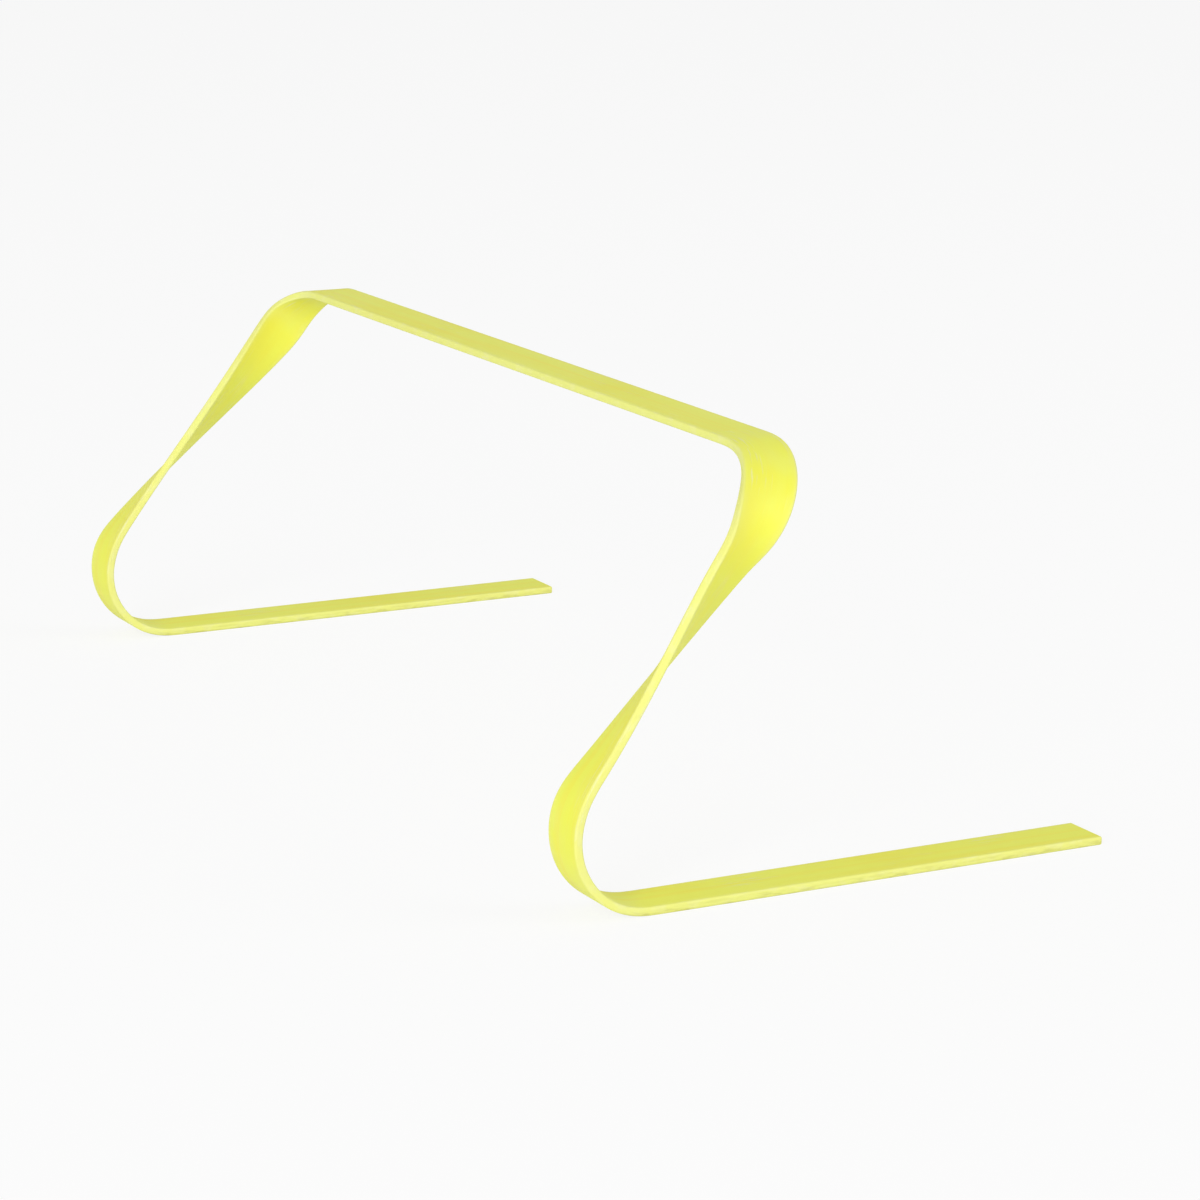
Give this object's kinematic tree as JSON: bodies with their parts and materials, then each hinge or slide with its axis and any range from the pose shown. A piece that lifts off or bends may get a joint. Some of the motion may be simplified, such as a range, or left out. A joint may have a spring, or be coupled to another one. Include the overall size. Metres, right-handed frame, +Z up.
{
  "type": "speed hurdle",
  "caption": "Low agility hurdle bent from a flat plastic strip, with long flat feet, springy heel bends, twisted leaning legs and a level crossbar.",
  "frame": {"origin": "on the floor under the middle of the hurdle's box", "axes": "+Z up, +Y along the crossbar to the left foot, +X the way the free ends of the feet point"},
  "size_m": [0.2186, 0.454, 0.1524],
  "materials": {
    "strip_plastic": "bright yellow plastic strip, satin, smooth"
  },
  "bodies": {
    "left_foot": {"left_foot": "strip_plastic"},
    "arch": {"left_leg": "strip_plastic", "left_corner": "strip_plastic", "crossbar": "strip_plastic", "right_corner": "strip_plastic", "right_leg": "strip_plastic"},
    "right_foot": {"right_foot": "strip_plastic"}
  },
  "joints": [
    {"name": "left_heel_flex", "type": "hinge", "parent": "left_foot", "child": "arch", "pos_m": [-0.10518, 0.217, 0.01799], "axis": [0, 1, 0], "range_deg": [-20, 40], "stiffness_Nm_per_rad": 1.15, "springref_deg": -0.91},
    {"name": "right_heel_flex", "type": "hinge", "parent": "arch", "child": "right_foot", "pos_m": [-0.10518, -0.217, 0.01799], "axis": [0, 1, 0], "range_deg": [-40, 20], "stiffness_Nm_per_rad": 1.15, "springref_deg": 0.91}
  ],
  "couplings": [
    {"joint": "right_heel_flex", "follows": "left_heel_flex", "ratio": -1}
  ]
}
